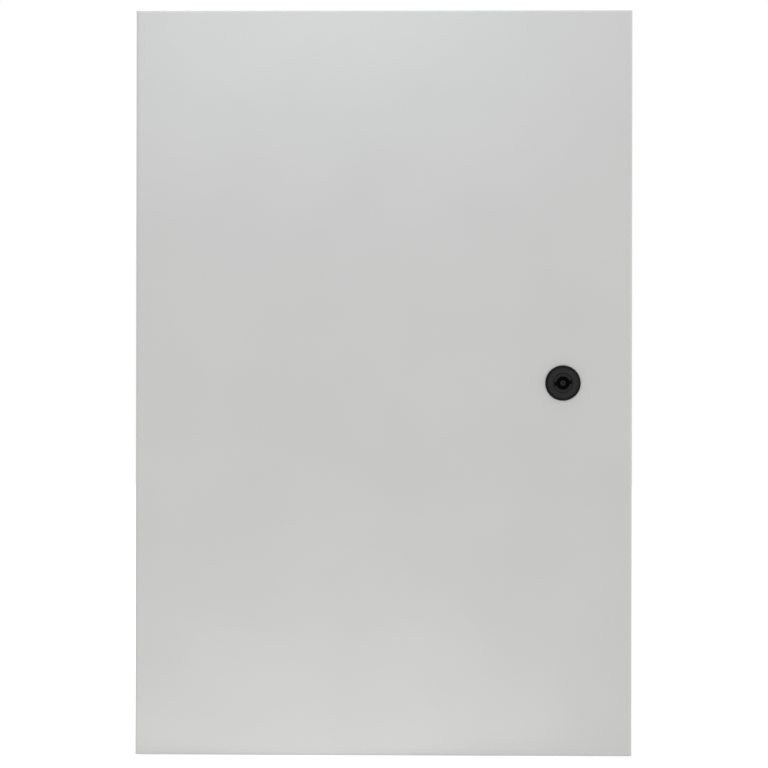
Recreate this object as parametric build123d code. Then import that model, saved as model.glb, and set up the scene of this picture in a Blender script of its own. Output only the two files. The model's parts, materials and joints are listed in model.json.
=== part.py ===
"""Wall-mounting sheet-steel switchboard cabinet with one hinged door and a double-bit quarter-turn lock.

Frame: millimetres, +X to the right as seen from the front, +Y from the front to the wall, +Z up.
The origin is the bottom centre of the whole cabinet's box, so it stands on z = 0.
Many places are given as a depth, which is the distance behind the door's face.
"""
from build123d import *
from math import hypot
import os

# ---- Cabinet ----
BODY_W = 400.0
BODY_H = 600.0
DEPTH = 200.0              # door face to wall
BODY_SHEET = 1.2
REAR_SHEET = 1.5
BEND_INNER_R = 1.2         # inside radius of every fold in the body
WRAP_CORNER_R = 3.0        # outside radius of the four long edges
LIP_CORNER_R = 9.0         # outside radius of the sealing lip's corners
FRAME_RETURN = 6.0         # front flange to the weld seam where the walls start

# ---- Door ----
DOOR_SHEET = 1.5
DOOR_INSET = 0.5           # how far the door's edge stands in from the body's sides
DOOR_SKIRT = 18.0          # depth of the folded edge, from the door's face
DOOR_BEND_INNER_R = 1.0
DOOR_CORNER_R = 0.8        # ground corner where two skirts meet
CORNER_SLIT = 0.6          # seam left between the skirts at each corner
CORNER_RELIEF_R = 1.2

# ---- Gasket on the door, and the body's lip that bites into it ----
GASKET_W = 12.0
GASKET_H = 8.5
GASKET_BITE = 1.0          # how deep the closed lip sinks in
GASKET_SIDE_CLEAR = 0.4
GASKET_CROWN_R = 2.5

# ---- Hinges ----
HINGE_FROM_END = 90.0
PIN_R = 2.5
PIN_FIT = 0.01             # pin pressed into the leaf's ears
PIN_RUN = 0.05             # pin running in the arm's eye
PIN_HEAD_R = 4.0
PIN_HEAD_H = 2.0
PIN_TAIL = 4.0
EYE_WALL = 2.5
EYE_H = 24.0
EYE_TO_LEAF = 0.5
EYE_TO_SIDE = 0.5
EAR_H = 8.0
WASHER_T = 1.0
HINGE_PLAY = 0.3
LEAF_SHEET = 2.0
LEAF_END = 18.0            # length of leaf beyond each ear, for its stud
LEAF_EDGE_GAP = 0.4       # leaf to the door's inner bend, and to the gasket
ARM_WEB = 6.0
ARM_BASE = 3.0
ARM_SCREW_R = 2.0
ARM_SCREW_PITCH = 12.0
SWING_CLEAR = 0.6          # skirt's back edge to the flange as the door swings
GUTTER_CLEAR = 3.4         # skirt's back edge to the sealing lip as the door swings
NOTCH_FROM_FACE = 3.0
NOTCH_END_GAP = 1.0

# ---- Lock ----
LOCK_INSET = 56.0          # lock centre to the body's side
LOCK_HEAD_R = 14.2
LOCK_FACE_R = 11.9
LOCK_PROUD = 3.0
LOCK_EDGE_H = 0.6
LOCK_SEAL_T = 0.5
LOCK_SEAL_INSET = 0.8
BARREL_R = 11.0
BARREL_PITCH = 1.5
BARREL_FLAT = 20.0
ROTOR_R = 8.0
ROTOR_REAR_R = 6.0
ROTOR_RUN = 0.05
ROTOR_SUNK = 0.4
ROTOR_CHAMFER = 0.25
ROTOR_SHOULDER = 12.0      # depth where the rotor steps down
BIT_BORE_R = 5.4
BIT_BORE_DEPTH = 13.0
BIT_PIN_R = 2.3
BIT_PIN_SUNK = 0.8
BIT_DIMPLE_R = 0.6
BIT_WING_SPAN = 14.3
BIT_WING_W = 3.2
BIT_WING_DEPTH = 9.0
BIT_ANGLE = 7.5            # how far the insert is turned at rest from its open stop
ORING_R = 0.75
ORING_FROM_SHOULDER = 3.1
ORING_CLEAR = 0.05
SHOULDER_PLAY = 0.2
SQUARE = 8.0
SQUARE_FIT = 0.05
CAM_GAP = 0.4              # cam to the back of the flange it hooks behind
CAM_T = 3.0
CAM_W = 18.0
CAM_BEHIND_FLANGE = 9.0    # how far the locked cam reaches past the lip
BARREL_TO_CAM = 0.3
CAM_STOP_W = 1.5
CAM_STOP_GAP = 0.4
CAM_STOP_PLAY = 1.0        # degrees
CAM_PINCH = 0.15           # square's end below the cam's face, so that the screw clamps the cam
LOCK_NUT_FLATS = 27.0
LOCK_NUT_H = 5.0
TOOTH_WASHER_T = 1.2
TOOTH_WASHER_R = 15.1
TOOTH_COUNT = 14
CUTOUT_CLEAR = 0.25

# ---- Door rails ----
RAIL_W = 24.0
RAIL_RISE = 10.0
RAIL_FOOT = 12.0
RAIL_SHEET = 1.2
RAIL_BEND_R = 0.5
RAIL_END_GAP = 36.0        # rail end to the gasket
RAIL_TO_NUT = 8.0
RAIL_HOLE_R = 3.25
RAIL_PITCH = 25.0

# ---- Mounting plate ----
PLATE_SHEET = 2.0
PLATE_MARGIN = 25.0        # plate edge to the body's outside
PLATE_STANDOFF = 16.0      # plate to the rear panel
PLATE_NOTCH = 30.0
PLATE_NOTCH_R = 4.0
PLATE_STUD_INSET = 15.0
PLATE_HOLE_CLEAR = 0.5

# ---- Wall fixing ----
WALL_HOLE_R = 4.5
WALL_HOLE_INSET = 30.0
BOSS_H = 2.0
BOSS_TOP_R = 15.0
BOSS_FOOT_R = 18.0
TRAY_RIM = 10.0
TRAY_CORNER_R = 0.6

# ---- Cable entry ----
GLAND_W = 240.0
GLAND_RIM = 20.0
GLAND_MARGIN = 6.0         # gland plate to the flange in front and to the mounting plate behind
GLAND_SHEET = 1.5
GLAND_GASKET_T = 2.0
GLAND_CORNER_R = 6.0
GLAND_STUDS_PER_SIDE = 4

# ---- Fasteners: (radius, pitch, flats, nut height, flange radius) ----
M5 = (2.5, 0.8, 8.0, 4.0, 5.9)
M6 = (3.0, 1.0, 10.0, 5.0, 7.1)
M8 = (4.0, 1.25, 13.0, 6.5, 8.95)
THREAD_CLEAR = 0.05
THREAD_DEPTH = 0.55        # share of the pitch
STUD_HOLE_CLEAR = 0.3      # hole in a sheet round a stud, on the radius
NUT_PROUD = 3.0            # stud length left past its nut
PLATE_WASHER_T = 1.6
PLATE_WASHER_R = 10.5
SPACER_WALL = 2.7
EARTH_WASHER_T = 1.2
EARTH_TEETH = 12
ARM_SCREW_GRIP = 7.0       # thread inside the arm
ARM_SCREW_HEAD_R = 3.6
ARM_SCREW_HEAD_H = 2.8
ARM_SCREW_PITCH_MM = 0.7
ARM_SEAL_T = 1.0
CAM_WASHER_T = 1.5
CAM_SCREW_HEAD_H = 4.0
CAM_SCREW_GRIP = 9.0
CLIP_W = 1.6
CLIP_T = 0.8
CLIP_GROOVE = 0.6          # how deep the pin's groove is
CLIP_PLAY = 0.1
CLIP_DROP = 0.7            # ear to the clip

# ---- Places worked out from the sizes above ----
REAR = (DEPTH + LOCK_PROUD) / 2
FRONT = REAR - DEPTH
REAR_FLAT = REAR - BOSS_H
PIVOT_IN = PIN_R + EYE_WALL + EYE_TO_SIDE                  # door's edge to the hinge axis
PIVOT_DEPTH = DOOR_SHEET + LEAF_SHEET + EYE_TO_LEAF + PIN_R + EYE_WALL
PIVOT_X = -BODY_W / 2 + DOOR_INSET + PIVOT_IN
SKIRT_SWING_R = hypot(PIVOT_IN, DOOR_SKIRT - PIVOT_DEPTH)  # path of the skirt's back edge
FLANGE_DEPTH = PIVOT_DEPTH + SKIRT_SWING_R + SWING_CLEAR
FLANGE_W = DOOR_INSET + PIVOT_IN + SKIRT_SWING_R + GUTTER_CLEAR
LIP_DEPTH = DOOR_SHEET + GASKET_H - GASKET_BITE
LIP_W = BODY_W - 2 * FLANGE_W
LIP_H = BODY_H - 2 * FLANGE_W
DOOR_W = BODY_W - 2 * DOOR_INSET
DOOR_H = BODY_H - 2 * DOOR_INSET
MID_Z = BODY_H / 2
GASKET_MID_W = LIP_W - BODY_SHEET
GASKET_MID_H = LIP_H - BODY_SHEET
HINGE_ZS = {"lower": HINGE_FROM_END, "upper": BODY_H - HINGE_FROM_END}
EAR_IN = EYE_H / 2 + HINGE_PLAY + WASHER_T
EAR_OUT = EAR_IN + EAR_H
LOCK_X = BODY_W / 2 - LOCK_INSET
CAM_DEPTH = FLANGE_DEPTH + BODY_SHEET + CAM_GAP
CAM_REACH = LOCK_INSET - FLANGE_W + CAM_BEHIND_FLANGE
RAIL_X = LOCK_X - LOCK_NUT_FLATS / 3 ** 0.5 - RAIL_TO_NUT - RAIL_W / 2 - RAIL_FOOT
PLATE_DEPTH = DEPTH - BOSS_H - REAR_SHEET - PLATE_STANDOFF - PLATE_SHEET
GLAND_SPACE = (FLANGE_DEPTH + BODY_SHEET, PLATE_DEPTH)
GLAND_DEPTH = sum(GLAND_SPACE) / 2
GLAND_D = GLAND_SPACE[1] - GLAND_SPACE[0] - 2 * (GLAND_MARGIN + GLAND_RIM)


# ---- Shape helpers ----
def block(x, y, z):
    """A box between the given (low, high) pairs."""
    size = [pair[1] - pair[0] for pair in (x, y, z)]
    centre = [(pair[0] + pair[1]) / 2 for pair in (x, y, z)]
    return Pos(*centre) * Box(*size)


def slab(sketch, depth_a, depth_b):
    """A sketch drawn in X and Z, as thick as the two depths say."""
    return extrude(Pos(0, FRONT + depth_b, 0) * (Plane.XZ * sketch), amount=depth_b - depth_a)


def panel(width, height, corner_r, depth_a, depth_b):
    """A rounded rectangle about the cabinet's middle, between two depths."""
    return slab(Pos(0, MID_Z) * RectangleRounded(width, height, corner_r), depth_a, depth_b)


def edges_at_depth(part, depth, keep=lambda edge: True):
    """Edges that lie in the plane at that depth."""
    y = FRONT + depth
    return [e for e in part.edges() if all(abs(v.Y - y) < 1e-4 for v in e.vertices()) and
            abs(e.center().Y - y) < 1e-4 and keep(e)]


def to_front(part, x, depth, z):
    """Turns a piece built along +Z so that it points to the front, with its base at the place given."""
    return Pos(x, FRONT + depth, z) * Rot(90, 0, 0) * part


def to_rear(part, x, depth, z):
    """Turns a piece built along +Z so that it points to the rear, with its base at the place given."""
    return Pos(x, FRONT + depth, z) * Rot(-90, 0, 0) * part


def turned(points):
    """The solid that a closed outline of (radius, height) points makes about the Z axis."""
    return revolve(Plane.XZ * make_face(Polyline(*points, close=True)), Axis.Z)


def ring(outer_r, inner_r, height):
    """A plain washer that stands on z = 0."""
    return turned([(inner_r, 0), (outer_r, 0), (outer_r, height), (inner_r, height)])


def threaded(screw, length):
    """A rod on z = 0 with its thread as plain V grooves, and a chamfered tip."""
    radius, pitch = screw[0], screw[1]
    cut = THREAD_DEPTH * pitch
    turns = int((length - pitch) // pitch)
    points = [(0, 0), (radius, 0)]
    for turn in range(turns):
        base = (turn + 0.5) * pitch
        points += [(radius, base), (radius - cut, base + pitch / 2)]
    points += [(radius, (turns + 0.5) * pitch), (radius, length - cut), (radius - cut, length), (0, length)]
    return turned(points)


def hexagon(flats, height):
    """A hexagonal prism on z = 0 with its corners turned down at both ends."""
    corner_r = flats / 3 ** 0.5
    turn_down = (corner_r - flats / 2) * 0.6
    blank = turned([(0, 0), (flats / 2, 0), (corner_r, turn_down), (corner_r, height - turn_down),
                    (flats / 2, height), (0, height)])
    return extrude(RegularPolygon(corner_r, 6), amount=height) & blank


def flanged_nut(screw):
    """A hexagon nut on a round flange, standing on z = 0."""
    radius, _, flats, height, flange_r = screw
    foot = height * 0.18
    flange = turned([(0, 0), (flange_r, 0), (flange_r, foot), (flats / 2, height * 0.4), (0, height * 0.4)])
    return flange + hexagon(flats, height) - Cylinder(radius + THREAD_CLEAR, 3 * height)


def toothed_washer(inner_r, outer_r, thickness, teeth):
    """A lock washer with teeth cut round its outside."""
    washer = ring(outer_r, inner_r, thickness)
    gap = outer_r * 0.18
    cuts = [Rot(0, 0, 360 / teeth * i) * Pos(outer_r, 0, thickness / 2) *
            Rot(0, 35, 0) * Box(gap * 1.6, gap, 3 * thickness) for i in range(teeth)]
    return washer - cuts


def group(parts):
    """Several separate solids as one node."""
    return Compound([solid for part in parts for solid in part.solids()])


def stud_length(stack, screw):
    """How long a stud is when it holds a stack of that thickness under its nut."""
    return stack + screw[3] + NUT_PROUD


# ---- Enclosure ----
def near_lip(edge):
    """True for an edge that lies on the sealing lip, not on the walls."""
    centre = edge.center()
    return abs(centre.X) <= LIP_W / 2 + 0.01 and abs(centre.Z - MID_Z) <= LIP_H / 2 + 0.01


def body_front_and_walls():
    """The front frame, folded to a flange and a sealing lip, and the four walls welded to its return."""
    back = DEPTH - BOSS_H
    bend_outer = BEND_INNER_R + BODY_SHEET
    inner_w, inner_h = BODY_W - 2 * BODY_SHEET, BODY_H - 2 * BODY_SHEET
    outside = panel(BODY_W, BODY_H, WRAP_CORNER_R, FLANGE_DEPTH, back)
    outside = fillet(edges_at_depth(outside, FLANGE_DEPTH), bend_outer)
    cavity = panel(inner_w, inner_h, WRAP_CORNER_R - BODY_SHEET, FLANGE_DEPTH + BODY_SHEET, back + 1)
    cavity = fillet(edges_at_depth(cavity, FLANGE_DEPTH + BODY_SHEET), BEND_INNER_R)
    shell = outside - cavity + panel(LIP_W, LIP_H, LIP_CORNER_R, LIP_DEPTH, FLANGE_DEPTH + BODY_SHEET / 2)
    shell = fillet(edges_at_depth(shell, FLANGE_DEPTH, near_lip), BEND_INNER_R)
    opening = panel(LIP_W - 2 * BODY_SHEET, LIP_H - 2 * BODY_SHEET, LIP_CORNER_R - BODY_SHEET,
                    LIP_DEPTH - 1, FLANGE_DEPTH + BODY_SHEET + 1)
    shell -= opening
    shell = fillet(edges_at_depth(shell, FLANGE_DEPTH + BODY_SHEET, near_lip), bend_outer)
    cut = Pos(0, FRONT + GLAND_DEPTH) * RectangleRounded(GLAND_W, GLAND_D, GLAND_CORNER_R)
    shell -= extrude(cut, amount=4 * BODY_SHEET, both=True)
    for x, z in arm_screw_places():
        shell -= to_rear(Cylinder(ARM_SCREW_R + THREAD_CLEAR, 8 * BODY_SHEET), x, FLANGE_DEPTH, z)
    to_seam = panel(2 * BODY_W, 2 * BODY_H, WRAP_CORNER_R, 0, FLANGE_DEPTH + FRAME_RETURN)
    return shell & to_seam, shell - to_seam


def wall_hole_places():
    return [(sx * (BODY_W / 2 - WALL_HOLE_INSET), MID_Z + sz * (BODY_H / 2 - WALL_HOLE_INSET))
            for sx in (-1, 1) for sz in (-1, 1)]


def rear_panel():
    """A shallow tray inside the walls, with a raised boss round each wall-fixing hole."""
    flat = DEPTH - BOSS_H
    width, height = BODY_W - 2 * BODY_SHEET, BODY_H - 2 * BODY_SHEET
    corner = WRAP_CORNER_R - BODY_SHEET
    tray = panel(width, height, corner, flat - TRAY_RIM, flat)
    tray = fillet(edges_at_depth(tray, flat), corner - 0.1)
    hollow = panel(width - 2 * REAR_SHEET, height - 2 * REAR_SHEET, TRAY_CORNER_R,
                   flat - TRAY_RIM - 1, flat - REAR_SHEET)
    tray -= hollow
    for x, z in wall_hole_places():
        hill = turned([(0, -REAR_SHEET / 2), (BOSS_FOOT_R, -REAR_SHEET / 2), (BOSS_FOOT_R, 0),
                       (BOSS_TOP_R, BOSS_H), (0, BOSS_H)])
        pit_foot_r, pit_top_r = BOSS_FOOT_R - REAR_SHEET / 2, BOSS_TOP_R - REAR_SHEET / 2
        pit = turned([(0, -2 * REAR_SHEET), (pit_foot_r, -2 * REAR_SHEET), (pit_foot_r, -REAR_SHEET),
                      (pit_top_r, BOSS_H - REAR_SHEET), (0, BOSS_H - REAR_SHEET)])
        tray += to_rear(hill, x, flat, z)
        tray -= to_rear(pit, x, flat, z)
        tray -= to_rear(Cylinder(WALL_HOLE_R, 8 * REAR_SHEET), x, flat, z)
    return tray


def plate_stud_places():
    x = BODY_W / 2 - PLATE_MARGIN - PLATE_STUD_INSET
    z = BODY_H / 2 - PLATE_MARGIN - PLATE_NOTCH - PLATE_STUD_INSET
    return [(sx * x, MID_Z + sz * z) for sx in (-1, 1) for sz in (-1, 1)]


def mounting_plate():
    """The device plate, with a square notch in each corner over the wall bolts."""
    width, height = BODY_W - 2 * PLATE_MARGIN, BODY_H - 2 * PLATE_MARGIN
    outline = Rectangle(width, height)
    for sx in (-1, 1):
        for sz in (-1, 1):
            outline -= Pos(sx * width / 2, sz * height / 2) * Rectangle(2 * PLATE_NOTCH, 2 * PLATE_NOTCH)
    outline = fillet(outline.vertices(), PLATE_NOTCH_R)
    plate = slab(Pos(0, MID_Z) * outline, PLATE_DEPTH, PLATE_DEPTH + PLATE_SHEET)
    for x, z in plate_stud_places():
        plate -= to_rear(Cylinder(M8[0] + PLATE_HOLE_CLEAR, 6 * PLATE_SHEET), x, PLATE_DEPTH, z)
    return plate


def plate_hardware():
    """The M8 studs, spacers, washers and nuts that carry the mounting plate."""
    weld = DEPTH - BOSS_H - REAR_SHEET
    length = stud_length(PLATE_STANDOFF + PLATE_SHEET + PLATE_WASHER_T, M8)
    bore_r = M8[0] + STUD_HOLE_CLEAR
    spacer = ring(bore_r + SPACER_WALL, bore_r, PLATE_STANDOFF)
    stud, nut = threaded(M8, length), flanged_nut(M8)
    washer = ring(PLATE_WASHER_R, bore_r, PLATE_WASHER_T)
    places = plate_stud_places()
    return {
        "plate_studs": group([to_front(stud, x, weld, z) for x, z in places]),
        "plate_spacers": group([to_front(spacer, x, weld, z) for x, z in places]),
        "plate_washers": group([to_front(washer, x, PLATE_DEPTH, z) for x, z in places]),
        "plate_nuts": group([to_front(nut, x, PLATE_DEPTH - PLATE_WASHER_T, z) for x, z in places]),
    }


def gland_stud_places():
    """(x, depth) of the studs round the cable cut-out."""
    half_w, half_d = (GLAND_W + GLAND_RIM) / 2, (GLAND_D + GLAND_RIM) / 2
    step = 2 * half_w / (GLAND_STUDS_PER_SIDE - 1)
    return [(-half_w + i * step, GLAND_DEPTH + side * half_d)
            for side in (-1, 1) for i in range(GLAND_STUDS_PER_SIDE)]


def gland_parts():
    """The cable-entry plate on its gasket, inside the bottom wall, with its studs and nuts."""
    outline = RectangleRounded(GLAND_W + 2 * GLAND_RIM, GLAND_D + 2 * GLAND_RIM, GLAND_CORNER_R)
    window = RectangleRounded(GLAND_W, GLAND_D, GLAND_CORNER_R)
    holes = [Pos(x, FRONT + depth) * Circle(M5[0] + STUD_HOLE_CLEAR) for x, depth in gland_stud_places()]
    here = Pos(0, FRONT + GLAND_DEPTH)
    gasket = extrude(here * (outline - window) - holes, amount=GLAND_GASKET_T)
    plate = extrude(here * outline - holes, amount=GLAND_SHEET)
    floor = BODY_SHEET
    stack = GLAND_GASKET_T + GLAND_SHEET
    stud, nut = threaded(M5, stud_length(stack, M5)), flanged_nut(M5)
    places = [(x, FRONT + depth) for x, depth in gland_stud_places()]
    return {
        "gland_gasket": Pos(0, 0, floor) * gasket,
        "gland_plate": Pos(0, 0, floor + GLAND_GASKET_T) * plate,
        "gland_studs": group([Pos(x, y, floor) * stud for x, y in places]),
        "gland_nuts": group([Pos(x, y, floor + stack) * nut for x, y in places]),
    }


def earth_terminal(screw, prefix, place):
    """An earth stud with two nuts, each on a toothed washer. place() puts a piece on the stud's line."""
    washer = toothed_washer(screw[0] + STUD_HOLE_CLEAR, screw[4] * 0.95, EARTH_WASHER_T, EARTH_TEETH)
    nut = hexagon(screw[2], screw[3]) - Cylinder(screw[0] + THREAD_CLEAR, 4 * screw[3])
    step = EARTH_WASHER_T + screw[3]
    feet = [0, step]
    return {
        f"{prefix}_earth_stud": place(threaded(screw, stud_length(step + EARTH_WASHER_T, screw))),
        f"{prefix}_earth_washers": group([place(Pos(0, 0, foot) * washer) for foot in feet]),
        f"{prefix}_earth_nuts": group([place(Pos(0, 0, foot + EARTH_WASHER_T) * nut) for foot in feet]),
    }


def body_earth():
    """The body's earth terminal, on the floor beside the cable entry."""
    x = -(BODY_W / 2 + GLAND_W / 2 + GLAND_RIM) / 2
    return earth_terminal(M8, "body", lambda part: Pos(x, FRONT + GLAND_DEPTH, BODY_SHEET) * part)


# ---- Hinges ----
def arm_screw_x():
    """The screws sit where the arm's slanting web meets its base."""
    return PIVOT_X + FLANGE_DEPTH - PIVOT_DEPTH - ARM_BASE


def arm_screw_places():
    return [(arm_screw_x(), z + side * ARM_SCREW_PITCH / 2) for z in HINGE_ZS.values() for side in (-1, 1)]


def hinge_arm(z):
    """The fixed half: an eye for the pin on a slanting web, with a base on the flange."""
    rise = FLANGE_DEPTH - PIVOT_DEPTH
    eye = Circle(PIN_R + EYE_WALL)
    web = Rot(0, 0, 45) * Pos(rise * 2 ** 0.5 / 2, 0) * Rectangle(rise * 2 ** 0.5, ARM_WEB)
    base_x = (ARM_BASE - ARM_WEB / 2, rise + 1.0)
    base = Pos(sum(base_x) / 2, rise - ARM_BASE / 2) * Rectangle(base_x[1] - base_x[0], ARM_BASE)
    above_flange = Pos(0, rise - 50) * Rectangle(100, 100)
    section = (eye + web + base) & above_flange
    arm = extrude(section - Circle(PIN_R + PIN_RUN), amount=EYE_H / 2, both=True)
    arm = Pos(PIVOT_X, FRONT + PIVOT_DEPTH, z) * arm
    for side in (-1, 1):
        hole = Cylinder(ARM_SCREW_R + THREAD_CLEAR, 4 * rise)
        arm -= to_front(hole, arm_screw_x(), FLANGE_DEPTH, z + side * ARM_SCREW_PITCH / 2)
    return arm


def arm_fixings():
    """Screws with seals, driven from behind the flange into the arms."""
    behind = FLANGE_DEPTH + BODY_SHEET
    shank = threaded((ARM_SCREW_R, ARM_SCREW_PITCH_MM), ARM_SCREW_GRIP + BODY_SHEET + ARM_SEAL_T)
    head = fillet(Cylinder(ARM_SCREW_HEAD_R, ARM_SCREW_HEAD_H).edges().group_by(Axis.Z)[0], 1.0)
    socket = extrude(RegularPolygon(1.5, 6), amount=1.6)
    head = Pos(0, 0, -ARM_SCREW_HEAD_H / 2) * head - Pos(0, 0, -ARM_SCREW_HEAD_H) * socket
    screw = head + shank
    seal = ring(ARM_SCREW_HEAD_R, ARM_SCREW_R + THREAD_CLEAR, ARM_SEAL_T)
    places = arm_screw_places()
    return {
        "hinge_arm_screws": group([to_front(screw, x, behind + ARM_SEAL_T, z) for x, z in places]),
        "hinge_arm_seals": group([to_rear(seal, x, behind, z) for x, z in places]),
    }


def leaf_stud_places():
    """(x, z) of the weld studs that hold the leaves, midway between skirt and gasket."""
    low, high = leaf_span()
    z_off = EAR_OUT + LEAF_END / 2
    return [((low + high) / 2, z + side * z_off) for z in HINGE_ZS.values() for side in (-1, 1)]


def leaf_span():
    """The leaf's left and right edges."""
    low = -DOOR_W / 2 + DOOR_SHEET + DOOR_BEND_INNER_R + LEAF_EDGE_GAP
    high = -(GASKET_MID_W + GASKET_W) / 2 - LEAF_EDGE_GAP
    return low, high


def hinge_leaf(z):
    """The moving half: a plate on the inside of the door with two ears for the pin."""
    low, high = leaf_span()
    plate = block((low, high), (FRONT + DOOR_SHEET, FRONT + DOOR_SHEET + LEAF_SHEET),
                  (z - EAR_OUT - LEAF_END, z + EAR_OUT + LEAF_END))
    r = PIN_R + EYE_WALL
    foot_d = PIVOT_DEPTH - DOOR_SHEET
    foot = (low - PIVOT_X, r)
    section = Circle(r) + Pos(sum(foot) / 2, -foot_d / 2) * Rectangle(foot[1] - foot[0], foot_d)
    section -= Circle(PIN_R + PIN_FIT)
    ear = Pos(PIVOT_X, FRONT + PIVOT_DEPTH, z) * extrude(section, amount=EAR_H)
    leaf = plate + Pos(0, 0, EAR_IN) * ear + Pos(0, 0, -EAR_OUT) * ear
    for x, stud_z in leaf_stud_places():
        if abs(stud_z - z) < EAR_OUT + LEAF_END:
            leaf -= to_rear(Cylinder(M5[0] + STUD_HOLE_CLEAR, 6 * LEAF_SHEET), x, DOOR_SHEET, stud_z)
    return leaf


def hinge_pin(z):
    """A headed pin, let in from above, with a groove for its clip."""
    foot = -EAR_OUT - PIN_TAIL
    groove = (-EAR_OUT - CLIP_DROP - CLIP_T - CLIP_PLAY, -EAR_OUT - CLIP_DROP + CLIP_PLAY)
    neck_r, top = PIN_R - CLIP_GROOVE, EAR_OUT + PIN_HEAD_H
    points = [(0, foot), (neck_r, foot), (PIN_R, foot + CLIP_GROOVE),
              (PIN_R, groove[0]), (neck_r, groove[0]), (neck_r, groove[1]), (PIN_R, groove[1]),
              (PIN_R, EAR_OUT), (PIN_HEAD_R, EAR_OUT), (PIN_HEAD_R, top - 0.5), (PIN_HEAD_R - 0.5, top),
              (0, top)]
    return Pos(PIVOT_X, FRONT + PIVOT_DEPTH, z) * turned(points)


def hinge_small_parts():
    """The clips under the pins and the plain washers between eye and ears."""
    neck_r = PIN_R - CLIP_GROOVE + THREAD_CLEAR
    clip = ring(PIN_R + CLIP_W, neck_r, CLIP_T) - Pos(0, 2 * PIN_R, 0) * Box(1.4 * neck_r, 4 * PIN_R, 4)
    washer = ring(PIN_R + EYE_WALL - STUD_HOLE_CLEAR, PIN_R + THREAD_CLEAR, WASHER_T)
    axis = Pos(PIVOT_X, FRONT + PIVOT_DEPTH, 0)
    zs = HINGE_ZS.values()
    drop = EAR_OUT + CLIP_DROP + CLIP_T
    lift = EYE_H / 2 + HINGE_PLAY
    return {
        "hinge_pin_clips": group([axis * Pos(0, 0, z - drop) * clip for z in zs]),
        "hinge_washers": group([axis * Pos(0, 0, z + up) * washer for z in zs for up in (lift, -EAR_IN)]),
    }


# ---- Door ----
def door_panel():
    """The folded pan with its lock cut-out, corner seams and hinge notches."""
    radius = DOOR_BEND_INNER_R + DOOR_SHEET
    outside = Pos(0, FRONT + DOOR_SKIRT / 2, MID_Z) * Box(DOOR_W, DOOR_SKIRT, DOOR_H)
    outside = fillet(edges_at_depth(outside, 0), radius)
    corners = [e for e in outside.edges() if abs(abs(e.center().X) - DOOR_W / 2) < 1e-4 and
               abs(abs(e.center().Z - MID_Z) - DOOR_H / 2) < 1e-4]
    outside = fillet(corners, DOOR_CORNER_R)
    inside = Pos(0, FRONT + DOOR_SHEET + DOOR_SKIRT / 2, MID_Z) * \
        Box(DOOR_W - 2 * DOOR_SHEET, DOOR_SKIRT, DOOR_H - 2 * DOOR_SHEET)
    inside = fillet(edges_at_depth(inside, DOOR_SHEET), DOOR_BEND_INNER_R)
    door = outside - inside
    skirt_y = (FRONT + radius + CORNER_RELIEF_R, FRONT + DOOR_SKIRT + 1)
    for sx in (-1, 1):
        for sz in (-1, 1):
            z_in = MID_Z + sz * (DOOR_H / 2 - DOOR_SHEET)
            z_pair = sorted((z_in, z_in - sz * CORNER_SLIT))
            x_pair = sorted((sx * (DOOR_W / 2 + 1), sx * (DOOR_W / 2 - DOOR_SHEET - 0.01)))
            door -= block(x_pair, skirt_y, z_pair)
            relief = Pos(sx * (DOOR_W / 2 - DOOR_SHEET / 2), skirt_y[0], z_in - sz * CORNER_RELIEF_R) * \
                Rot(0, 90, 0) * Cylinder(CORNER_RELIEF_R, 2 * DOOR_SHEET)
            door -= relief
    for z in HINGE_ZS.values():
        half = EAR_OUT + PIN_TAIL + NOTCH_END_GAP
        door -= block((-DOOR_W / 2 - 1, -DOOR_W / 2 + DOOR_SHEET + 0.5),
                      (FRONT + NOTCH_FROM_FACE, FRONT + DOOR_SKIRT + 1), (z - half, z + half))
    cut = Circle(BARREL_R + CUTOUT_CLEAR) & Rectangle(4 * BARREL_R, BARREL_FLAT + 2 * CUTOUT_CLEAR)
    door -= slab(Pos(LOCK_X, MID_Z) * cut, -1, DOOR_SHEET + 1)
    return door


def door_gasket():
    """A crowned bead round the door, with the groove that the closed lip presses into it."""
    top = DOOR_SHEET + GASKET_H
    outer_r = LIP_CORNER_R + GASKET_W / 2
    inner_r = LIP_CORNER_R - BODY_SHEET / 2
    bead = panel(GASKET_MID_W + GASKET_W, GASKET_MID_H + GASKET_W, outer_r, DOOR_SHEET, top)
    bead -= panel(GASKET_MID_W - GASKET_W, GASKET_MID_H - GASKET_W, inner_r - GASKET_W / 4, 0, top + 1)
    bead = fillet(edges_at_depth(bead, top), GASKET_CROWN_R)
    wide = BODY_SHEET / 2 + GASKET_SIDE_CLEAR
    bite = panel(GASKET_MID_W + 2 * wide, GASKET_MID_H + 2 * wide, LIP_CORNER_R - BODY_SHEET / 2 + wide,
                 LIP_DEPTH - 0.1, top + 1)
    bite -= panel(GASKET_MID_W - 2 * wide, GASKET_MID_H - 2 * wide, LIP_CORNER_R - BODY_SHEET / 2 - wide,
                  0, top + 2)
    return bead - bite


def rail_length():
    return GASKET_MID_H - GASKET_W - 2 * RAIL_END_GAP


def rail_stud_places():
    """(x, z) of the weld studs, two under each foot of each rail."""
    flat = (RAIL_W / 2 + RAIL_SHEET + RAIL_BEND_R, RAIL_W / 2 + RAIL_FOOT)
    z_off = (rail_length() - RAIL_PITCH) / 2
    return [(sx * RAIL_X + foot * sum(flat) / 2, MID_Z + sz * z_off)
            for sx in (-1, 1) for foot in (-1, 1) for sz in (-1, 1)]


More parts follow.
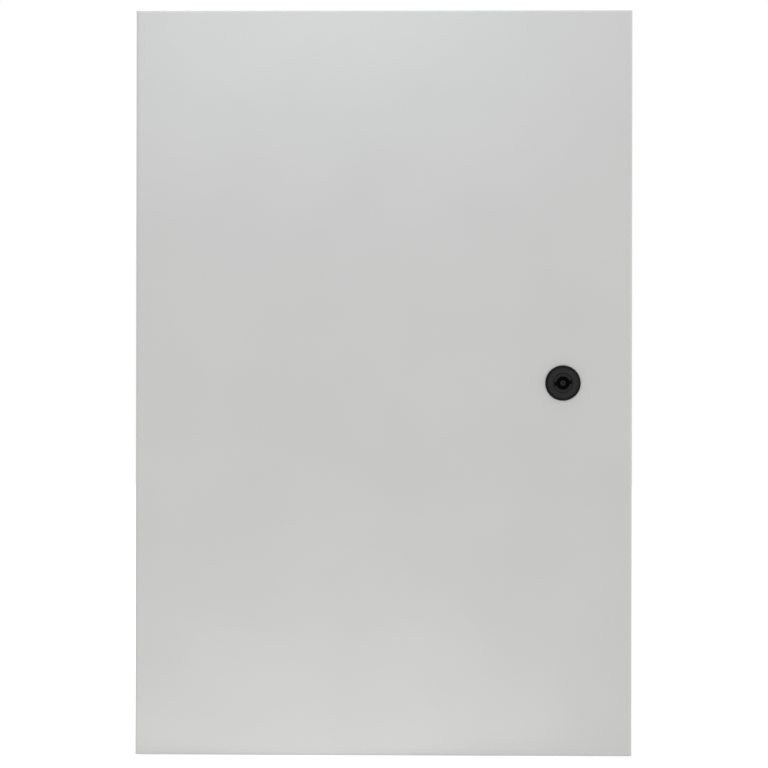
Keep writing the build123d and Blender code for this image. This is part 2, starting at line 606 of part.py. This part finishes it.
def door_rail(side):
    """A hat-section stiffener with a row of holes along its crown."""
    half, foot, t, rise = RAIL_W / 2, RAIL_FOOT, RAIL_SHEET, RAIL_RISE
    right = [(half, rise - t), (half, 0), (half + foot, 0), (half + foot, t), (half + t, t),
             (half + t, rise)]
    left = [(-x, y) for x, y in reversed(right)]
    outline = make_face(Polyline(*right, *left, close=True))
    bends = outline.vertices().filter_by(lambda v: abs(v.X) < half + t + 0.1)
    section = fillet(bends, RAIL_BEND_R)
    rail = extrude(section, amount=rail_length() / 2, both=True)
    rail = Pos(side * RAIL_X, FRONT + DOOR_SHEET, MID_Z) * rail
    count = int((rail_length() - RAIL_PITCH) // RAIL_PITCH)
    for i in range(count):
        z = MID_Z + (i - (count - 1) / 2) * RAIL_PITCH
        rail -= to_rear(Cylinder(RAIL_HOLE_R, 4 * t), side * RAIL_X, DOOR_SHEET + rise, z)
    for x, z in rail_stud_places():
        if x * side > 0:
            rail -= to_rear(Cylinder(M5[0] + STUD_HOLE_CLEAR, 4 * t), x, DOOR_SHEET, z)
    return rail


def door_studs():
    """Weld studs and nuts for the rails and for the hinge leaves."""
    nut = hexagon(M5[2], M5[3]) - Cylinder(M5[0] + THREAD_CLEAR, 4 * M5[3])
    rail_stud = threaded(M5, stud_length(RAIL_SHEET, M5))
    leaf_stud = threaded(M5, stud_length(LEAF_SHEET, M5) - NUT_PROUD / 2)
    return {
        "rail_studs": group([to_rear(rail_stud, x, DOOR_SHEET, z) for x, z in rail_stud_places()]),
        "rail_nuts": group([to_rear(nut, x, DOOR_SHEET + RAIL_SHEET, z) for x, z in rail_stud_places()]),
        "leaf_studs": group([to_rear(leaf_stud, x, DOOR_SHEET, z) for x, z in leaf_stud_places()]),
        "leaf_nuts": group([to_rear(nut, x, DOOR_SHEET + LEAF_SHEET, z) for x, z in leaf_stud_places()]),
    }


def door_earth():
    """The door's earth terminal, low down between the hinge-side gasket and the rail."""
    gasket_edge = (GASKET_MID_W - GASKET_W) / 2
    rail_edge = RAIL_X + RAIL_W / 2 + RAIL_FOOT
    x = -(gasket_edge + rail_edge) / 2
    z = MID_Z - rail_length() / 2
    return earth_terminal(M6, "door", lambda part: to_rear(part, x, DOOR_SHEET, z))


# ---- Lock ----
def at_lock(part, depth=0.0):
    """Puts a piece built along +Z on the lock's axis, pointing to the rear from that depth."""
    return to_rear(part, LOCK_X, depth, MID_Z)


def rotor_turn(part):
    """The resting angle of everything that turns with the insert, anticlockwise from the front."""
    return Rot(0, 0, -BIT_ANGLE) * part


def lock_housing():
    """The round head and threaded barrel, with the crescent that stops the cam at both ends of its turn."""
    neck = -LOCK_SEAL_T
    end = CAM_DEPTH - BARREL_TO_CAM
    edge = Polyline((BARREL_R - 1, neck), (LOCK_HEAD_R, neck), (LOCK_HEAD_R, neck - LOCK_EDGE_H))
    shoulder = RadiusArc((LOCK_HEAD_R, neck - LOCK_EDGE_H), (LOCK_FACE_R, -LOCK_PROUD), 5.0)
    face = Polyline((LOCK_FACE_R, -LOCK_PROUD), (ROTOR_R + ROTOR_CHAMFER, -LOCK_PROUD),
                    (ROTOR_R, -LOCK_PROUD + ROTOR_CHAMFER), (ROTOR_R, neck), (BARREL_R - 1, neck))
    head = revolve(Plane.XZ * make_face(edge + shoulder + face), Axis.Z)
    thread = Pos(0, 0, neck) * threaded((BARREL_R, BARREL_PITCH), end - neck)
    wide = 2 * BARREL_R
    flats = block((-wide, wide), (-BARREL_FLAT / 2, BARREL_FLAT / 2), (neck - 1, end + 2 * CAM_T))
    body = head + (thread & flats)
    bore = Pos(0, 0, -2 * LOCK_PROUD) * extrude(Circle(ROTOR_R), amount=ROTOR_SHOULDER + 2 * LOCK_PROUD)
    body -= bore
    body -= Cylinder(ROTOR_REAR_R, 4 * CAM_DEPTH)
    inner_r = CAM_W / 2 + CAM_STOP_GAP
    stop = Pos(0, 0, end - 1) * ring(inner_r + CAM_STOP_W, inner_r, CAM_DEPTH + CAM_T - end + 0.5)
    for turn, corner in ((CAM_STOP_PLAY, (-CAM_W / 2, 0)), (-CAM_STOP_PLAY, (0, -CAM_W / 2))):
        path = block((corner[0], 2 * CAM_W), (corner[1], 2 * CAM_W), (end, CAM_DEPTH + 2 * CAM_T))
        stop -= Rot(0, 0, turn) * path
    return at_lock(body + (stop & flats))


def lock_rotor():
    """The insert: key socket with its centre pin in front, seal groove, and square for the cam behind."""
    front = -LOCK_PROUD + ROTOR_SUNK
    r, rear_r = ROTOR_R - ROTOR_RUN, ROTOR_REAR_R - ROTOR_RUN
    middle = ROTOR_SHOULDER - ORING_FROM_SHOULDER
    groove = (middle - 1.2 * ORING_R, middle + 1.2 * ORING_R)
    groove_r = r - 2 * ORING_R - ORING_CLEAR
    step = ROTOR_SHOULDER - SHOULDER_PLAY
    outline = [(0, front), (r - ROTOR_CHAMFER, front), (r, front + ROTOR_CHAMFER), (r, groove[0]),
               (groove_r, groove[0]), (groove_r, groove[1]), (r, groove[1]), (r, step), (rear_r, step),
               (rear_r, CAM_DEPTH), (0, CAM_DEPTH)]
    rotor = turned(outline)
    half = SQUARE / 2 - SQUARE_FIT
    rotor += block((-half, half), (-half, half), (CAM_DEPTH - 1, CAM_DEPTH + CAM_T - CAM_PINCH))
    wings = Rectangle(BIT_WING_SPAN, BIT_WING_W)
    for recess, depth in ((Circle(BIT_BORE_R), BIT_BORE_DEPTH), (wings, BIT_WING_DEPTH)):
        rotor -= Pos(0, 0, front - 1) * extrude(recess, amount=depth + 1)
    tip = front + BIT_PIN_SUNK
    pin = [(0, BIT_DIMPLE_R), (BIT_DIMPLE_R, 0), (BIT_PIN_R - 0.3, 0), (BIT_PIN_R, 0.3),
           (BIT_PIN_R, BIT_BORE_DEPTH), (0, BIT_BORE_DEPTH)]
    rotor += Pos(0, 0, tip) * turned(pin)
    tapped = Cylinder(M6[0] + THREAD_CLEAR, 2 * CAM_SCREW_GRIP + 4)
    rotor -= Pos(0, 0, CAM_DEPTH + CAM_T) * tapped
    return at_lock(rotor_turn(rotor))


def lock_cam():
    """The flat tongue. It hangs down when the door is free and swings up behind the flange to lock."""
    arm = Pos(0, CAM_REACH / 2) * Rectangle(CAM_W, CAM_REACH)
    arm = fillet(arm.vertices().group_by(Axis.Y)[-1], 4.0)
    plate = extrude(arm + Circle(CAM_W / 2) - Rectangle(SQUARE, SQUARE), amount=CAM_T)
    plate -= Pos(0, CAM_REACH, 0) * Rot(-12, 0, 0) * Box(2 * CAM_W, 14, 2.0)
    return at_lock(rotor_turn(plate), CAM_DEPTH)


def lock_small_parts():
    """What goes on the barrel and on the end of the insert."""
    back = CAM_DEPTH + CAM_T
    nut = hexagon(LOCK_NUT_FLATS, LOCK_NUT_H) - Cylinder(BARREL_R + THREAD_CLEAR, 4 * LOCK_NUT_H)
    bore_r = M6[0] + STUD_HOLE_CLEAR
    spring = ring(2 * M6[0], bore_r, CAM_WASHER_T)
    spring -= Rot(20, 0, 0) * Pos(1.6 * M6[0], 0, 0) * Box(1.7 * M6[0], 0.6, 8 * CAM_WASHER_T)
    shank = Pos(0, 0, -CAM_SCREW_GRIP) * threaded(M6, CAM_SCREW_GRIP + 0.5)
    screw = hexagon(M6[2], CAM_SCREW_HEAD_H) + shank
    o_ring = Torus(ROTOR_R - ROTOR_RUN - ORING_R, ORING_R)
    seal = ring(LOCK_HEAD_R - LOCK_SEAL_INSET, BARREL_R + STUD_HOLE_CLEAR, LOCK_SEAL_T)
    tooth = toothed_washer(BARREL_R + STUD_HOLE_CLEAR, TOOTH_WASHER_R, TOOTH_WASHER_T, TOOTH_COUNT)
    return {
        "lock_seal": at_lock(seal, -LOCK_SEAL_T),
        "lock_tooth_washer": at_lock(tooth, DOOR_SHEET),
        "lock_nut": at_lock(nut, DOOR_SHEET + TOOTH_WASHER_T),
        "rotor_o_ring": at_lock(o_ring, ROTOR_SHOULDER - ORING_FROM_SHOULDER),
        "cam_spring_washer": at_lock(rotor_turn(spring), back),
        "cam_screw": at_lock(rotor_turn(screw), back + CAM_WASHER_T),
    }


def build():
    """Every node by name."""
    front_frame, body_shell = body_front_and_walls()
    nodes = {"front_frame": front_frame, "body_shell": body_shell, "rear_panel": rear_panel(),
             "mounting_plate": mounting_plate(), "door_panel": door_panel(), "door_gasket": door_gasket(),
             "lock_housing": lock_housing(), "lock_rotor": lock_rotor(), "lock_cam": lock_cam(),
             "door_rail_left": door_rail(-1), "door_rail_right": door_rail(1)}
    for pieces in (plate_hardware(), gland_parts(), body_earth(), arm_fixings(), hinge_small_parts(),
                   door_studs(), door_earth(), lock_small_parts()):
        nodes.update(pieces)
    for end, z in HINGE_ZS.items():
        nodes[f"hinge_arm_{end}"] = hinge_arm(z)
        nodes[f"hinge_leaf_{end}"] = hinge_leaf(z)
        nodes[f"hinge_pin_{end}"] = hinge_pin(z)
    return nodes


os.makedirs("parts", exist_ok=True)
for name, shape in build().items():
    export_step(shape, f"parts/{name}.step")
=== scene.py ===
import json
import math

import bpy
from mathutils import Euler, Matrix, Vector


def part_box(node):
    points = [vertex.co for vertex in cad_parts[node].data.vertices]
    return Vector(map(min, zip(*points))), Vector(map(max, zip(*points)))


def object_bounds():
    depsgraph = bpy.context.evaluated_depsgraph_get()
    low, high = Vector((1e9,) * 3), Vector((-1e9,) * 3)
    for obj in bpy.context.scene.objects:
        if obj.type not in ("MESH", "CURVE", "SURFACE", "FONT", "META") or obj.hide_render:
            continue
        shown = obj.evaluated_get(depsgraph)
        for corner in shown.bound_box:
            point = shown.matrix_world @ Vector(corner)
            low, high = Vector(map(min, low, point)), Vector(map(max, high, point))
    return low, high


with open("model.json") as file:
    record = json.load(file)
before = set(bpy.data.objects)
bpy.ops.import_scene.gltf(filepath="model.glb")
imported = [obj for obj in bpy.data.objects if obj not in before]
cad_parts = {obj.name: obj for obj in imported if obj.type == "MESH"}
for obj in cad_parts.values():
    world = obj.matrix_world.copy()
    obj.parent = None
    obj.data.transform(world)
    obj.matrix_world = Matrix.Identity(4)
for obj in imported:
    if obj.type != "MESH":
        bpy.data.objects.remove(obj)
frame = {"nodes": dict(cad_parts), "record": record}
CAD_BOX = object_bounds()

MM = 0.001
LOW, HIGH = (Vector(corner) for corner in CAD_BOX)
DOOR_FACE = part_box("door_panel")[0][1]
LOCK_LOW, LOCK_HIGH = (Vector(corner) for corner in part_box("lock_housing"))
LOCK_X = (LOCK_LOW.x + LOCK_HIGH.x) / 2
LOCK_Z = (LOCK_LOW.z + LOCK_HIGH.z) / 2

GRAIN_SPAN = {"From Min": 0.3, "From Max": 0.7}     # nearly all of a grain's values lie between these
RIM_INNER, RIM_OUTER = 11.8 * MM, 12.3 * MM         # radii between which the lock's bevel ring is painted near black: painted shade
RECESS_START, RECESS_END = 1.3 * MM, 1.9 * MM       # depths between which the key recess is painted darker: painted shade


# ---- Building materials ----
def srgb(code):
    """A hex colour as linear RGBA."""
    parts = [int(code[i:i + 2], 16) / 255 for i in (0, 2, 4)]
    return [p / 12.92 if p <= 0.04045 else ((p + 0.055) / 1.055) ** 2.4 for p in parts] + [1.0]


def add(tree, kind, inputs=None, **settings):
    """Adds a node. inputs gives each socket, by name or number, a value, another node's output, or a node,
    whose first output is meant."""
    node = tree.nodes.new(kind)
    for name, value in settings.items():
        setattr(node, name, value)
    for key, value in (inputs or {}).items():
        source = value.outputs[0] if isinstance(value, bpy.types.Node) else value
        if isinstance(source, bpy.types.NodeSocket):
            tree.links.new(source, node.inputs[key])
        else:
            node.inputs[key].default_value = source
    return node


def blank(name):
    """An empty material, its node tree, and the place on the object that its patterns are measured from."""
    made = bpy.data.materials.new(name)
    made.use_nodes = True
    made.node_tree.nodes.clear()
    place = add(made.node_tree, "ShaderNodeTexCoord").outputs["Object"]
    return made, made.node_tree, place


def surfaced(made, sockets):
    """The material with its surface on, whose sockets hold those values or patterns."""
    surface = add(made.node_tree, "ShaderNodeBsdfPrincipled", sockets)
    add(made.node_tree, "ShaderNodeOutputMaterial", {"Surface": surface})
    return made


def grain(tree, place, size, detail=2.0, stretch=(1, 1, 1)):
    """Irregular spots about that size in metres, longer along an axis whose stretch is over 1."""
    squeezed = add(tree, "ShaderNodeMapping", {"Vector": place, "Scale": [1 / s for s in stretch]})
    spots = add(tree, "ShaderNodeTexNoise", {"Vector": squeezed, "Scale": 1 / size, "Detail": detail})
    return spots.outputs["Fac"]


def mottled(tree, spots, first, second):
    """Two tints that run into each other from spot to spot."""
    share = add(tree, "ShaderNodeMapRange", {"Value": spots, **GRAIN_SPAN})
    tint = add(tree, "ShaderNodeMix", {0: share, 6: srgb(first), 7: srgb(second)}, data_type="RGBA")
    return tint.outputs[2]


# ---- Sheet metal ----
def powder_coat():
    """Polyester powder, sprayed on sheet steel and baked.
    To the eye it is a satin, light grey skin that flowed into a fine orange peel."""
    made, tree, place = blank("polyester powder coat, baked")
    cloud = grain(tree, place, 90 * MM, 3.0)
    peel = grain(tree, place, 2.6 * MM, 1.5)
    sag = grain(tree, place, 11 * MM, 2.0, (1.8, 1.0, 1.0))
    grit = grain(tree, place, 0.5 * MM, 1.0)
    rough = add(tree, "ShaderNodeMapRange", {"Value": peel, "To Min": 0.38, "To Max": 0.47, **GRAIN_SPAN})
    waves = add(tree, "ShaderNodeBump", {"Height": sag, "Strength": 1.0, "Distance": 0.06 * MM})
    dimples = add(tree, "ShaderNodeBump", {"Height": peel, "Strength": 1.0, "Distance": 0.045 * MM,
                                           "Normal": waves})
    skin = add(tree, "ShaderNodeBump", {"Height": grit, "Strength": 1.0, "Distance": 0.004 * MM,
                                        "Normal": dimples})
    return surfaced(made, {"Base Color": mottled(tree, cloud, "C8C8C7", "CBCBCA"), "Roughness": rough,
                           "IOR": 1.5, "Normal": skin})


def galvanised_sheet():
    """Hot-dip galvanised sheet. The zinc froze in crystals about 12 mm across, each with its own shine."""
    made, tree, place = blank("galvanised sheet steel")
    wander = grain(tree, place, 6 * MM, 2.0)
    bend = add(tree, "ShaderNodeMapRange", {"Value": wander, "To Min": 0.0, "To Max": 3 * MM, **GRAIN_SPAN})
    push = add(tree, "ShaderNodeCombineXYZ", {"X": bend, "Z": bend})
    pushed = add(tree, "ShaderNodeVectorMath", {0: place, 1: push}, operation="ADD")
    crystals = add(tree, "ShaderNodeTexVoronoi", {"Vector": pushed, "Scale": 1 / (12 * MM)})
    shade = add(tree, "ShaderNodeSeparateColor", {"Color": crystals.outputs["Color"]}).outputs["Red"]
    tint = add(tree, "ShaderNodeMix", {0: shade, 6: srgb("B4B7BA"), 7: srgb("C9CCCE")}, data_type="RGBA")
    rough = add(tree, "ShaderNodeMapRange", {"Value": shade, "To Min": 0.34, "To Max": 0.5})
    rolled = grain(tree, place, 0.8 * MM, 2.0, (1, 1, 12))
    lines = add(tree, "ShaderNodeBump", {"Height": rolled, "Strength": 1.0, "Distance": 0.004 * MM})
    return surfaced(made, {"Base Color": tint.outputs[2], "Metallic": 1.0, "Roughness": rough,
                           "Normal": lines})


# ---- Fasteners and pins ----
def zinc_plate():
    """Bright zinc electroplate with a blue passivation: shiny, with a faint cloudy tint."""
    made, tree, place = blank("zinc electroplate, blue passivated")
    cloud = grain(tree, place, 5 * MM, 3.0)
    scuff = grain(tree, place, 0.7 * MM, 2.0)
    rough = add(tree, "ShaderNodeMapRange", {"Value": scuff, "To Min": 0.24, "To Max": 0.38, **GRAIN_SPAN})
    marks = add(tree, "ShaderNodeBump", {"Height": scuff, "Strength": 1.0, "Distance": 0.006 * MM})
    return surfaced(made, {"Base Color": mottled(tree, cloud, "B9BEC6", "D0D0CA"), "Metallic": 1.0,
                           "Roughness": rough, "Normal": marks})


def turned_steel():
    """Stainless steel turned on a lathe: bright, with fine rings round the pin."""
    made, tree, place = blank("stainless steel, turned")
    rings = grain(tree, place, 0.35 * MM, 1.0, (60, 60, 1))
    rough = add(tree, "ShaderNodeMapRange", {"Value": rings, "To Min": 0.22, "To Max": 0.36, **GRAIN_SPAN})
    marks = add(tree, "ShaderNodeBump", {"Height": rings, "Strength": 1.0, "Distance": 0.008 * MM})
    return surfaced(made, {"Base Color": mottled(tree, rings, "B2B0AC", "C6C5C2"), "Metallic": 1.0,
                           "Roughness": rough, "Normal": marks})


def copper_flash():
    """Steel weld studs with a thin copper flash: a warm red, dull where the weld's heat reached it."""
    made, tree, place = blank("steel stud, copper flashed")
    heat = grain(tree, place, 3 * MM, 3.0)
    rough = add(tree, "ShaderNodeMapRange", {"Value": heat, "To Min": 0.28, "To Max": 0.45, **GRAIN_SPAN})
    return surfaced(made, {"Base Color": mottled(tree, heat, "A5694E", "D09A78"), "Metallic": 1.0,
                           "Roughness": rough})


def brass():
    """Free-cutting brass, turned and milled: warm yellow, with small dull spots."""
    made, tree, place = blank("brass, machined")
    dull = grain(tree, place, 2 * MM, 3.0)
    cut = grain(tree, place, 0.4 * MM, 1.0, (8, 8, 1))
    rough = add(tree, "ShaderNodeMapRange", {"Value": dull, "To Min": 0.22, "To Max": 0.4, **GRAIN_SPAN})
    marks = add(tree, "ShaderNodeBump", {"Height": cut, "Strength": 1.0, "Distance": 0.006 * MM})
    return surfaced(made, {"Base Color": mottled(tree, dull, "B6924C", "D9B96F"), "Metallic": 1.0,
                           "Roughness": rough, "Normal": marks})


# ---- Black castings of the hinges and the lock ----
def cast_skin(tree, place, size, depth):
    """The grain that a mould leaves on zinc, seen through a thin coat: its specks, and its relief."""
    specks = grain(tree, place, size)
    flow = grain(tree, place, 7 * MM)
    wave = add(tree, "ShaderNodeBump", {"Height": flow, "Strength": 1.0, "Distance": 4 * depth})
    relief = add(tree, "ShaderNodeBump", {"Height": specks, "Strength": 1.0, "Distance": depth,
                                          "Normal": wave})
    return specks, relief


def beyond(tree, place, centre, axes, start, end):
    """0 up to the start distance from the centre and 1 past the end, measured along those axes."""
    away = add(tree, "ShaderNodeVectorMath", {0: place, 1: centre}, operation="SUBTRACT")
    along = add(tree, "ShaderNodeVectorMath", {0: away, 1: axes}, operation="MULTIPLY")
    reach = add(tree, "ShaderNodeVectorMath", {0: along}, operation="LENGTH").outputs["Value"]
    return add(tree, "ShaderNodeMapRange", {"Value": reach, "From Min": start, "From Max": end})


def hinge_casting():
    """Zinc die-casting with a black coat: half matt, with the grain of the mould just showing."""
    made, tree, place = blank("zinc die-casting, black coated")
    specks, relief = cast_skin(tree, place, 0.6 * MM, 0.02 * MM)
    rough = add(tree, "ShaderNodeMapRange", {"Value": specks, "To Min": 0.45, "To Max": 0.57, **GRAIN_SPAN})
    return surfaced(made, {"Base Color": mottled(tree, specks, "222223", "2B2B2C"), "Roughness": rough,
                           "IOR": 1.45, "Specular IOR Level": 0.3, "Normal": relief})


def lock_casting():
    """Zinc die-casting under a matt black coat. Its bevel, a thin ring round the head, is painted near black
    as painted shade, and made rougher.
    """
    made, tree, place = blank("zinc die-casting, matt black")
    specks, relief = cast_skin(tree, place, 0.35 * MM, 0.01 * MM)
    tint = mottled(tree, specks, "1D1D1E", "252526")
    rough = add(tree, "ShaderNodeMapRange", {"Value": specks, "To Min": 0.45, "To Max": 0.57, **GRAIN_SPAN})
    # painted shade: past RIM_INNER the head's bevel is painted near black and made rougher
    rim_shade_mask = beyond(tree, place, (LOCK_X, 0, LOCK_Z), (1, 0, 1), RIM_INNER, RIM_OUTER)
    rim_painted_shade = add(tree, "ShaderNodeMix", {0: rim_shade_mask, 6: tint, 7: srgb("080808")}, data_type="RGBA")
    drier = add(tree, "ShaderNodeMix", {0: rim_shade_mask, 2: rough, 3: 0.55})
    return surfaced(made, {"Base Color": rim_painted_shade.outputs[2], "Roughness": drier,
                           "IOR": 1.45, "Specular IOR Level": 0.2, "Normal": relief})


def rotor_casting():
    """Zinc die-casting under a satin black coat. Down in the recess it is painted a little darker, as
    painted shade, and made rougher.
    """
    made, tree, place = blank("zinc die-casting, satin black")
    specks, relief = cast_skin(tree, place, 0.3 * MM, 0.008 * MM)
    tint = mottled(tree, specks, "141417", "1B1B1E")
    rough = add(tree, "ShaderNodeMapRange", {"Value": specks, "To Min": 0.37, "To Max": 0.49, **GRAIN_SPAN})
    # painted shade: deeper than RECESS_START the key recess is painted darker and made rougher
    recess = beyond(tree, place, (0, LOCK_LOW.y, 0), (0, 1, 0), RECESS_START, RECESS_END)
    recess_painted_shade = add(tree, "ShaderNodeMix", {0: recess, 6: tint, 7: srgb("141416")}, data_type="RGBA")
    drier = add(tree, "ShaderNodeMix", {0: recess, 2: rough, 3: 0.65})
    return surfaced(made, {"Base Color": recess_painted_shade.outputs[2], "Roughness": drier,
                           "IOR": 1.45, "Specular IOR Level": 0.2, "Normal": relief})


# ---- Seals and plastic ----
def foam_gasket():
    """Polyurethane foamed straight on to the door: a matt black skin with small closed pores."""
    made, tree, place = blank("polyurethane foam, foamed in place")
    pores = add(tree, "ShaderNodeTexVoronoi", {"Vector": place, "Scale": 1 / (1.1 * MM)}).outputs["Distance"]
    pits = add(tree, "ShaderNodeMapRange", {"Value": pores, "From Max": 0.35})
    swell = grain(tree, place, 14 * MM, 2.0)
    tint = add(tree, "ShaderNodeMix", {0: pits, 6: srgb("1B1B1C"), 7: srgb("2A2A2B")}, data_type="RGBA")
    swollen = add(tree, "ShaderNodeBump", {"Height": swell, "Strength": 1.0, "Distance": 0.35 * MM})
    pitted = add(tree, "ShaderNodeBump", {"Height": pits, "Strength": 1.0, "Distance": 0.05 * MM,
                                          "Normal": swollen})
    return surfaced(made, {"Base Color": tint.outputs[2], "Roughness": 0.72, "Specular IOR Level": 0.35,
                           "Normal": pitted})


def moulded_rubber():
    """EPDM moulded in an etched tool: matt, nearly black, with a dry bloom."""
    made, tree, place = blank("EPDM rubber, moulded")
    bloom = grain(tree, place, 9 * MM, 3.0)
    etch = grain(tree, place, 0.4 * MM, 1.0)
    rough = add(tree, "ShaderNodeMapRange", {"Value": bloom, "To Min": 0.68, "To Max": 0.82, **GRAIN_SPAN})
    texture = add(tree, "ShaderNodeBump", {"Height": etch, "Strength": 1.0, "Distance": 0.02 * MM})
    return surfaced(made, {"Base Color": mottled(tree, bloom, "191919", "262625"), "Roughness": rough,
                           "Specular IOR Level": 0.3, "Normal": texture})


def natural_nylon():
    """Natural polyamide, moulded: milky, and light passes a little way into it."""
    made, tree, place = blank("polyamide, natural")
    haze = grain(tree, place, 1.5 * MM, 2.0)
    return surfaced(made, {"Base Color": mottled(tree, haze, "E3DFD2", "EFEDE4"), "Roughness": 0.4,
                           "Subsurface Weight": 0.25, "Subsurface Scale": 1.0 * MM})


SLOTS = {
    "powder_coat": powder_coat(),
    "galvanised_sheet": galvanised_sheet(),
    "zinc_plate": zinc_plate(),
    "bright_steel": turned_steel(),
    "copper_plate": copper_flash(),
    "brass": brass(),
    "hinge_diecast": hinge_casting(),
    "lock_black": lock_casting(),
    "rotor_black": rotor_casting(),
    "foam_gasket": foam_gasket(),
    "epdm": moulded_rubber(),
    "nylon": natural_nylon(),
}
for part in frame["record"]["subparts"]:
    mesh = frame["nodes"][part["node"]].data
    mesh.materials.clear()
    mesh.materials.append(SLOTS[part["material_slot"]])


# ---- Floor, light and camera ----
ROOM_GLOW = 0.36
WALL_FOCUS = 6.0            # how closely a wall's light is gathered about its middle
SOFT_WALLS = {"front": ((0, -1, 0), 1.5), "rear": ((0, 1, 0), 1.2), "right": ((1, 0, 0), 2.0),
              "left": ((-1, 0, 0), 0.9), "ceiling": ((0, 0, 1), 1.35)}
FLOOR_SIZE = 14
FLOOR_GAP = 0.2 * MM        # between the floor and the cabinet's bottom
FLOOR_GLOW = 0.7            # added to the paper where the camera sees it
FLOOR_BOUNCE = 0.87         # thrown up at the cabinet
SENSOR, LENS = 36.0, 140.05     # millimetres
CAMERA_X, CAMERA_AWAY, CAMERA_Z = 0.0545, 2.4, 0.2911
CAMERA_UP, CAMERA_ROLL, CAMERA_LEFT = 0.19, -0.0865, 1.291     # degrees


def floor():
    """A pale paper floor that reads as plain white and throws an even light up at the cabinet."""
    made = bpy.data.materials.new("white studio paper")
    made.use_nodes = True
    tree = made.node_tree
    tree.nodes.clear()
    paper = add(tree, "ShaderNodeBsdfDiffuse", {"Color": srgb("D8D8D8")})
    glow = add(tree, "ShaderNodeEmission", {"Color": srgb("FFFFFF"), "Strength": FLOOR_GLOW})
    seen = add(tree, "ShaderNodeAddShader", {0: paper, 1: glow})
    bounce = add(tree, "ShaderNodeEmission", {"Color": srgb("FFFFFF"), "Strength": FLOOR_BOUNCE})
    camera_ray = add(tree, "ShaderNodeLightPath").outputs["Is Camera Ray"]
    both = add(tree, "ShaderNodeMixShader", {0: camera_ray, 1: bounce, 2: seen})
    add(tree, "ShaderNodeOutputMaterial", {"Surface": both})
    bpy.ops.mesh.primitive_plane_add(size=FLOOR_SIZE, location=(0, 0, LOW.z - FLOOR_GAP))
    sheet = bpy.context.object
    sheet.name = "studio_floor"
    sheet.data.materials.append(made)


def studio():
    """A white room, brightest where its soft walls face the cabinet squarely."""
    world = bpy.data.worlds.new("studio")
    bpy.context.scene.world = world
    world.use_nodes = True
    tree = world.node_tree
    tree.nodes.clear()
    way = add(tree, "ShaderNodeTexCoord").outputs["Generated"]
    total = ROOM_GLOW
    for towards, strength in SOFT_WALLS.values():
        facing = add(tree, "ShaderNodeVectorMath", {0: way, 1: towards}, operation="DOT_PRODUCT")
        ahead = add(tree, "ShaderNodeMath", {0: facing.outputs["Value"], 1: 0.0}, operation="MAXIMUM")
        lobe = add(tree, "ShaderNodeMath", {0: ahead, 1: WALL_FOCUS}, operation="POWER")
        total = add(tree, "ShaderNodeMath", {0: lobe, 1: strength, 2: total}, operation="MULTIPLY_ADD")
    lit = add(tree, "ShaderNodeBackground", {"Color": srgb("FEFFFE"), "Strength": total})
    seen = add(tree, "ShaderNodeBackground", {"Color": srgb("FFFFFF"), "Strength": 1.0})
    camera_ray = add(tree, "ShaderNodeLightPath").outputs["Is Camera Ray"]
    shown = add(tree, "ShaderNodeMixShader", {0: camera_ray, 1: lit, 2: seen})
    add(tree, "ShaderNodeOutputWorld", {"Surface": shown})


def softbox(name, x, place, target, size, power, colour, shape="RECTANGLE"):
    """A soft lamp that the camera doesn't see. An oval one fades out towards its ends.
    place and target are each a distance in front of the door's face and a height."""
    lamp = bpy.data.lights.new(name, "AREA")
    lamp.shape = shape
    lamp.size, lamp.size_y = size
    lamp.energy = power
    lamp.color = srgb(colour)[:3]
    held = bpy.data.objects.new(name, lamp)
    held.location, aim = (Vector((x, DOOR_FACE - ahead, height)) for ahead, height in (place, target))
    held.rotation_euler = (aim - held.location).to_track_quat("-Z", "Y").to_euler()
    held.visible_camera = False
    bpy.context.scene.collection.objects.link(held)


def camera():
    """A long lens, almost square to the door."""
    lens = bpy.data.cameras.new("camera")
    lens.lens = LENS
    lens.sensor_width = SENSOR
    held = bpy.data.objects.new("camera", lens)
    held.location = (CAMERA_X, DOOR_FACE - CAMERA_AWAY, CAMERA_Z)
    held.rotation_mode = "XYZ"
    held.rotation_euler = Euler([math.radians(turn) for turn in (90 + CAMERA_UP, CAMERA_ROLL, CAMERA_LEFT)])
    bpy.context.scene.collection.objects.link(held)
    bpy.context.scene.camera = held


floor()
studio()
softbox("top_box", x=-0.052, place=(0.15, HIGH.z), target=(0, HIGH.z),
        size=(0.34, 0.06), power=0.057, colour="E6F4FF")
softbox("low_box", x=-0.045, place=(0.15, LOW.z + 0.07), target=(0, LOW.z + 0.06),
        size=(0.24, 0.04), power=0.017, colour="F9FAFF")
softbox("foot_strip", x=-0.052, place=(0.052, LOW.z + 0.3 * MM), target=(0.052, HIGH.z),
        size=(0.46, 0.1), power=0.034, colour="FFFFFF", shape="ELLIPSE")
softbox("overhead", x=-0.03, place=(0.05, HIGH.z + 0.35), target=(-0.02, HIGH.z),
        size=(0.5, 0.1), power=0.26, colour="F2F8FF")
camera()
bpy.context.scene.view_settings.view_transform = "Standard"
bpy.context.scene.view_settings.look = "None"
